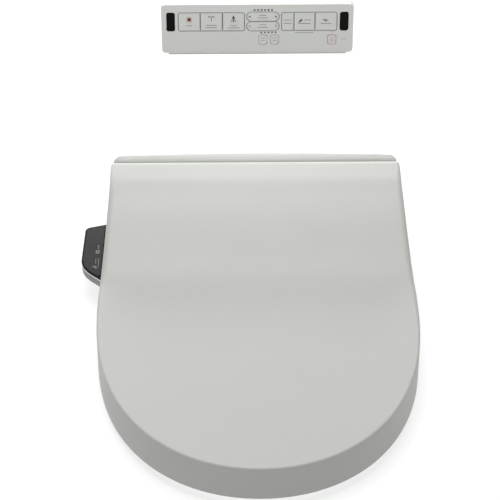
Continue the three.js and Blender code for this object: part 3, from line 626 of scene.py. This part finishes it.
def build_remote_print():
    row0, row1 = 30.9, 55.9
    frame_lines = [ring(-98.7, row0, -16.3, row1, 2.6, 0.75), ring(30.5, row0, 99.4, row1, 2.6, 0.75)]
    frame_lines += [rounded(u - 0.4, row0 + 0.2, u + 0.4, row1 - 0.2, 0.2, 2)
                    for u in (-71.35, -43.65, 45.7, 72.0)]
    frame_lines += [ring(-13.3, v - 6.3, 27.1, v + 6.3, 6.2, 0.7) for v in ROCKERS]
    key_lines = [ring(u - 5.0, 11.6, u + 5.0, 24.6, 3.8, 0.4) for u in SMALL_KEYS]
    face_print("small_key_outlines", key_lines, -0.05, 0.1, FAINT)
    face_print("remote_outlines", frame_lines, -0.05, 0.1, LINE)
    face_print("power_outline", [ring(88.7, 11.4, 98.5, 24.2, 3.4, 0.55)], -0.05, 0.1, RED_LINE)
    dots = [disc(-3.4 + 4.32 * i, 59.6, 1.25) for i in range(6)]
    dots += [disc(4.9 + 4.5 * i, 28.2, 1.1) for i in range(5)]
    face_print("indicator_dots", dots, -0.08, 0.1, INK, slot="gloss_black")
    face_print("remote_marks", [bar(58.6, 27.6, 24.0, 0.6), bar(108.4, 18.6, 6.4, 0.5)], -0.03, 0.05, LINE)
    face_print("ready_light", [disc(93.8, 28.7, 0.7)], -0.05, 0.1, PALE_INK)

    key_print("key_stop", [bar(-85.2, 38.0, 7.4)])
    key_print("key_stop", [rounded(-87.2, 44.6, -83.2, 48.6, 0.4, 2)], STOP_INK, "icon")
    key_print("key_stop", [ring(-88.0, 43.8, -82.4, 49.4, 0.5, 0.7, 2)], RED_LINE, "halo")

    fountain = [bar(-57.5, 38.6, 13.2), bar(-57.5, 35.4, 13.2), rounded(-57.9, 44.2, -57.1, 49.8, 0.3, 2)]
    fountain += [stroke([(-57.5, 49.6), (-59.2, 51.2), (-60.8, 50.6), (-61.4, 48.6)], 0.8),
                 stroke([(-57.5, 49.6), (-55.8, 51.2), (-54.2, 50.6), (-53.6, 48.6)], 0.8)]
    key_print("key_rear_wash", fountain)
    spray = [bar(-29.8, 38.0, 7.6), bar(-29.8, 34.9, 15.4), [(-29.8, 52.6), (-32.0, 47.4), (-27.6, 47.4)],
             rounded(-30.4, 42.6, -29.2, 47.2, 0.3, 2), stroke([(-31.0, 46.0), (-33.0, 43.4)], 0.8),
             stroke([(-28.6, 46.0), (-26.6, 43.4)], 0.8)]
    key_print("key_front_wash", spray)
    for key, v, filled in zip(("rocker_pressure", "rocker_position"), ROCKERS, (True, False)):
        key_print(key, rocker_marks(v, filled))
    key_print("key_clean", [bar(38.0, 45.4, 9.0), bar(38.0, 40.8, 10.0)])
    leaf = [(51.6, 41.8), (52.2, 44.0), (54.0, 46.0), (56.4, 47.0), (56.0, 44.6), (54.2, 42.8)]
    key_print("key_power_wash", [leaf, bar(62.6, 45.4, 8.2), bar(58.8, 40.6, 15.6)])
    hand = [bar(83.6, 46.2, 4.6, 0.8), bar(86.4, 45.0, 4.8, 0.8), bar(85.2, 43.8, 4.0, 0.8)]
    key_print("key_massage", hand + [bar(85.9, 40.4, 13.6)])
    for key, u in zip(("key_water_heat", "key_seat_heat"), SMALL_KEYS):
        key_print(key, [bar(u, 20.3, 6.0, 0.5), bar(u, 17.0, 5.6, 0.5)], LINE)
    power_ring = arc(93.6, 17.4, 2.1, 125, 415, 18)
    key_print("key_power", [stroke(power_ring, 0.6), rounded(93.3, 17.8, 93.9, 20.8, 0.2, 2)], RED_LINE)


build_lid()
build_seat()
build_side_control()
build_remote_print()


# ------------------------------------------------------------------ CAD nodes that stay: finish, soft edges
def smooth_group():
    """A modifier group that shades every face smooth, so that a CAD node's own mesh stays as it is."""
    group = bpy.data.node_groups.new("shade_smooth", "GeometryNodeTree")
    for way in ("INPUT", "OUTPUT"):
        group.interface.new_socket("Geometry", in_out=way, socket_type="NodeSocketGeometry")
    start = group.nodes.new("NodeGroupInput")
    smooth = group.nodes.new("GeometryNodeSetShadeSmooth")
    end = group.nodes.new("NodeGroupOutput")
    group.links.new(start.outputs[0], smooth.inputs["Geometry"])
    group.links.new(smooth.outputs[0], end.inputs[0])
    return group


SMOOTH = smooth_group()


def dress(node, material, soft=0.0, segments=2, angle=28.0):
    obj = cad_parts[node]
    for place in obj.material_slots:
        place.material = material
    obj.modifiers.new("shade_smooth", "NODES").node_group = SMOOTH
    weld = obj.modifiers.new("weld", "WELD")
    weld.merge_threshold = 1e-5
    flat = obj.modifiers.new("flat_faces", "DECIMATE")
    flat.decimate_type = "DISSOLVE"
    flat.angle_limit = math.radians(0.6)
    if soft:
        bevel(obj, soft, segments, angle)
    weigh_normals(obj)


SIDES = ("left", "right")
FINISH = {
    "base_case": (WHITE_INNER, 1.0), "upper_case": (WHITE, 1.2), "mounting_plate": (STEEL, 0.5),
    "release_button": (GREY, 0.8), "nozzle_guide": (GREY, 0.5),
    "rear_wash_nozzle": (NOZZLE, 0.4), "front_wash_nozzle": (NOZZLE, 0.4),
    "rear_wash_carriage": (WHITE_INNER, 0.3), "front_wash_carriage": (WHITE_INNER, 0.3),
    "water_heater_tank": (GREY, 1.0), "water_inlet_valve": (GREY, 0.8), "wash_pump": (GREY, 0.8),
    "main_board": (BOARD, 0.0), "water_inlet": (BRASS, 0.4), "power_gland": (RUBBER, 0.5),
    "seat_underside": (WHITE_INNER, 0.5), "seat_heater": (FOIL, 0.0),
    # The remote's front and holder take the white that carries painted light.
    "remote_front": (REMOTE_WHITE_PAINTED_LIGHT, 0.6), "remote_back": (WHITE_INNER, 0.6), "remote_board": (BOARD, 0.0),
    "battery_door": (WHITE_INNER, 0.3), "battery_1": (WRAP, 0.3), "battery_2": (WRAP, 0.3),
    "remote_holder": (REMOTE_WHITE_PAINTED_LIGHT, 0.5),
}
PAIRS = {
    "bolt_bushing": (GREY, 0.3), "base_foot": (RUBBER, 0.8), "hinge_pin": (STEEL, 0.5),
    "soft_close_damper": (GREY, 0.8), "nozzle_motor": (STEEL, 0.4), "lid_bumper": (RUBBER, 0.8),
    "seat_bumper_front": (RUBBER, 0.8), "seat_bumper_rear": (RUBBER, 0.8), "infrared_window": (WINDOW, 0.4),
}
FINISH.update({f"{part}_{side}": finish for part, finish in PAIRS.items() for side in SIDES})
for node_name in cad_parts:
    if node_name.startswith(("key_", "rocker_")):
        FINISH[node_name] = (KEY, 0.25)
for node_name, (look, softness) in FINISH.items():
    dress(node_name, look, softness)
